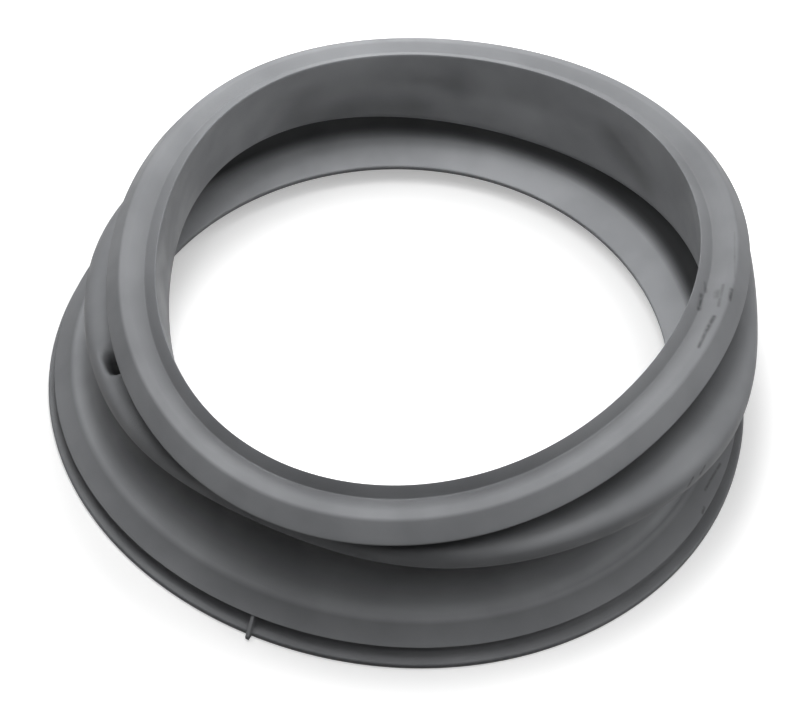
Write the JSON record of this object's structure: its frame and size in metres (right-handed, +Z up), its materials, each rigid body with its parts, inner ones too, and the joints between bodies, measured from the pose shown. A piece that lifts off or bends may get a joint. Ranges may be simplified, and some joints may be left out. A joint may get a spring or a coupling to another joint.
{
  "type": "washing machine door seal",
  "caption": "Soft rubber door seal ring for a washing machine: clamp-groove collar below, bellows fold, tall inner wall and hooked upper rim.",
  "frame": {"origin": "centre of the footprint's bounding box, on the plane that the bottom lip rests on", "axes": "+Z up through the laundry opening, from the large collar to the upper rim; +Y away from the viewer of the picture; +X to the right, the side that the soft rim has slumped to"},
  "size_m": [0.382, 0.3794, 0.1138],
  "materials": {
    "rubber": "satin"
  },
  "bodies": {
    "root": {"door_seal": "rubber"}
  },
  "joints": []
}
